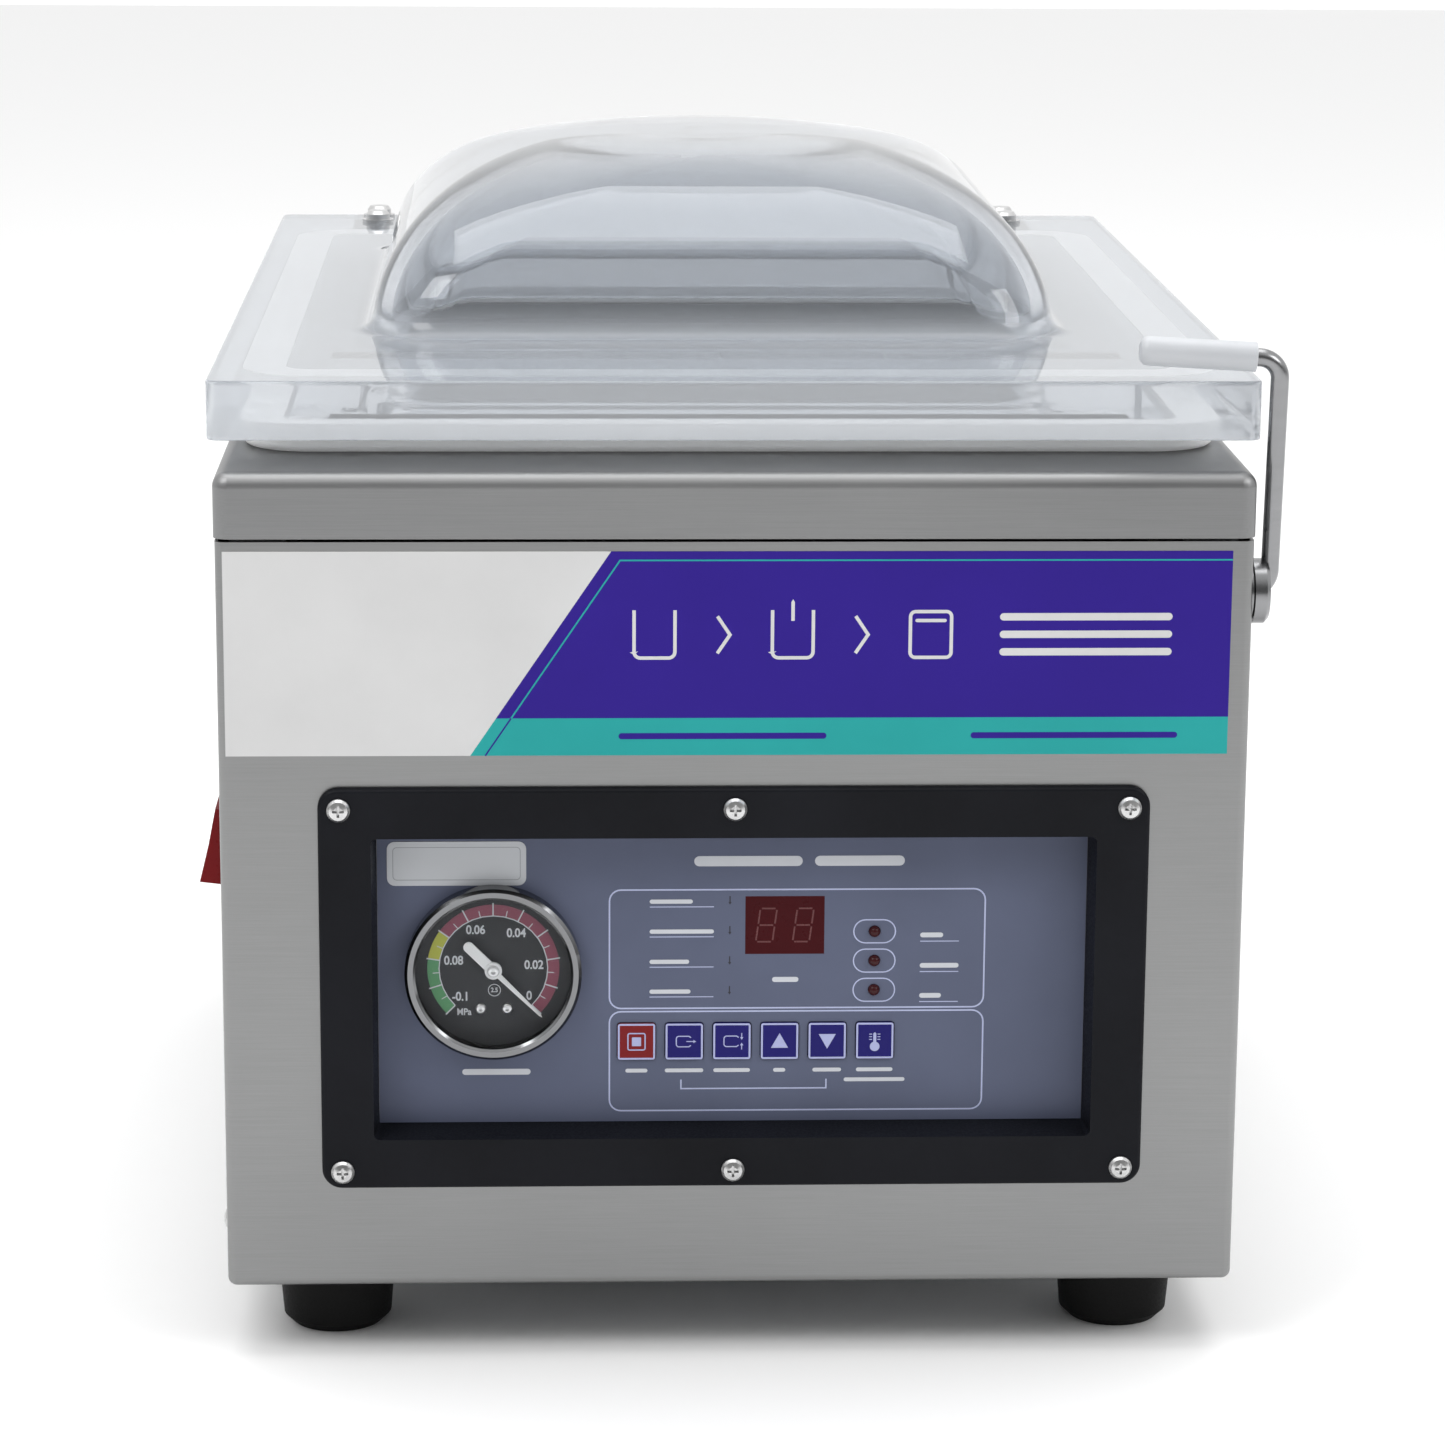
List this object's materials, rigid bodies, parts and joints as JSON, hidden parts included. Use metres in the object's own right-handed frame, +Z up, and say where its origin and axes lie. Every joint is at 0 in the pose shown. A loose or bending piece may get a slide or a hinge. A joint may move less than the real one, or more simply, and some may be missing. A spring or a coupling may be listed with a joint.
{
  "type": "vacuum chamber sealer",
  "caption": "Table-top vacuum chamber sealer with a domed clear hinged lid, deep chamber with lifting seal bar, lid latch, gauge and membrane control panel.",
  "frame": {"origin": "on the surface the machine stands on, under the middle of the cabinet", "axes": "+X to the operator's right, +Y from the front panel to the back, +Z up"},
  "size_m": [0.3483, 0.478, 0.3805],
  "materials": {
    "stainless_sheet": "fine brushed sheet",
    "chamber_steel": "satin",
    "frame_steel": "matt",
    "silicone_seal": "matt",
    "rubber_foot": "matt",
    "zinc_screw": "zinc plated",
    "pan_screw": "satin",
    "clear_acrylic": "polished clear acrylic",
    "bar_aluminium": "mill",
    "counter_silicone": "matt",
    "lid_screw_steel": "polished",
    "hinge_steel": "satin",
    "spring_steel": "satin",
    "ptfe_tape": "woven glass tape",
    "cylinder_aluminium": "satin",
    "bezel_plastic": "fine grain",
    "plate_aluminium": "satin",
    "overlay_film": "printed film",
    "display_red": "tinted",
    "lamp_red": "tinted",
    "key_red": "embossed film",
    "key_blue": "embossed film",
    "board_green": "lacquered",
    "gauge_black": "gloss",
    "gauge_glass": "clear",
    "gauge_face": "matt",
    "needle_white": "matt",
    "latch_steel": "plated",
    "grip_white": "satin",
    "switch_black": "matt",
    "rocker_red": "gloss",
    "pump_casting": "painted casting",
    "rotor_steel": "machined",
    "fan_plastic": "matt",
    "mount_rubber": "matt",
    "filter_metal": "enamel",
    "transformer_iron": "varnished",
    "valve_brass": "machined",
    "hose_rubber": "matt"
  },
  "bodies": {
    "cabinet": {"front_panel": "stainless_sheet", "left_panel": "stainless_sheet", "right_panel": "stainless_sheet", "rear_panel": "stainless_sheet", "deck": "stainless_sheet", "chamber_tank": "chamber_steel", "base_tray": "frame_steel", "corner_posts": "frame_steel", "hinge_brackets": "frame_steel", "feet": "rubber_foot", "foot_bolts": "zinc_screw", "panel_screws": "pan_screw", "bezel_screws": "pan_screw", "lid_springs": "spring_steel", "lift_cylinders": "cylinder_aluminium", "control_bezel": "bezel_plastic", "control_plate": "plate_aluminium", "control_overlay": "overlay_film", "display_window": "display_red", "status_lamps": "lamp_red", "control_board": "board_green", "gauge_ring": "gauge_black", "gauge_case": "gauge_black", "gauge_glass": "gauge_glass", "gauge_dial": "gauge_face", "latch_bush": "latch_steel", "switch_housing": "switch_black", "power_inlet": "switch_black", "lid_switch": "switch_black", "pump_block": "pump_casting", "motor_housing": "pump_casting", "pump_mounts": "mount_rubber", "exhaust_filter": "filter_metal", "transformer": "transformer_iron", "valve_block": "valve_brass", "vacuum_hoses": "hose_rubber"},
    "lid": {"lid": "clear_acrylic", "chamber_gasket": "silicone_seal", "counter_bar": "bar_aluminium", "counter_strip": "counter_silicone", "lid_screws": "lid_screw_steel", "hinge_arms": "hinge_steel", "hinge_shaft": "hinge_steel", "spring_levers": "hinge_steel"},
    "seal_bar": {"seal_bar": "bar_aluminium", "heating_wire": "spring_steel", "seal_tape": "ptfe_tape", "lift_rods": "spring_steel"},
    "latch": {"latch_rod": "latch_steel", "latch_grip": "grip_white"},
    "power_rocker": {"power_rocker": "rocker_red"},
    "gauge_needle": {"gauge_needle": "needle_white"},
    "pump_rotor": {"motor_rotor": "rotor_steel", "cooling_fan": "fan_plastic"},
    "panel_key_1": {"panel_key_1": "key_red"},
    "panel_key_2": {"panel_key_2": "key_blue"},
    "panel_key_3": {"panel_key_3": "key_blue"},
    "panel_key_4": {"panel_key_4": "key_blue"},
    "panel_key_5": {"panel_key_5": "key_blue"},
    "panel_key_6": {"panel_key_6": "key_blue"}
  },
  "joints": [
    {"name": "lid_hinge", "type": "hinge", "parent": "cabinet", "child": "lid", "pos_m": [0, 0.22, 0.284], "axis": [-1, 0, 0], "range_deg": [0, 60], "deforming": ["lid_springs"]},
    {"name": "seal_bar_lift", "type": "slide", "parent": "cabinet", "child": "seal_bar", "axis": [0, 0, 1], "range_m": [0, 0.0083]},
    {"name": "latch_pivot", "type": "hinge", "parent": "cabinet", "child": "latch", "pos_m": [0.165, -0.221, 0.2543], "axis": [1, 0, 0], "range_deg": [0, 150]},
    {"name": "rocker_tilt", "type": "hinge", "parent": "cabinet", "child": "power_rocker", "pos_m": [-0.161, -0.2, 0.1659], "axis": [0, -1, 0], "range_deg": [0, 25]},
    {"name": "needle_turn", "type": "hinge", "parent": "cabinet", "child": "gauge_needle", "pos_m": [-0.0778, -0.2246, 0.1295], "axis": [0, -1, 0], "range_deg": [0, 270], "stiffness_Nm_per_rad": 0.00002, "springref_deg": -34.38},
    {"name": "pump_spin", "type": "hinge", "parent": "cabinet", "child": "pump_rotor", "pos_m": [0.04, 0, 0.103], "axis": [0, 1, 0], "continuous": true},
    {"name": "key_1_press", "type": "slide", "parent": "cabinet", "child": "panel_key_1", "axis": [0, 1, 0], "range_m": [0, 0.0005], "stiffness_N_per_m": 400, "springref_m": -0.0004},
    {"name": "key_2_press", "type": "slide", "parent": "cabinet", "child": "panel_key_2", "axis": [0, 1, 0], "range_m": [0, 0.0005], "stiffness_N_per_m": 400, "springref_m": -0.0004},
    {"name": "key_3_press", "type": "slide", "parent": "cabinet", "child": "panel_key_3", "axis": [0, 1, 0], "range_m": [0, 0.0005], "stiffness_N_per_m": 400, "springref_m": -0.0004},
    {"name": "key_4_press", "type": "slide", "parent": "cabinet", "child": "panel_key_4", "axis": [0, 1, 0], "range_m": [0, 0.0005], "stiffness_N_per_m": 400, "springref_m": -0.0004},
    {"name": "key_5_press", "type": "slide", "parent": "cabinet", "child": "panel_key_5", "axis": [0, 1, 0], "range_m": [0, 0.0005], "stiffness_N_per_m": 400, "springref_m": -0.0004},
    {"name": "key_6_press", "type": "slide", "parent": "cabinet", "child": "panel_key_6", "axis": [0, 1, 0], "range_m": [0, 0.0005], "stiffness_N_per_m": 400, "springref_m": -0.0004}
  ]
}
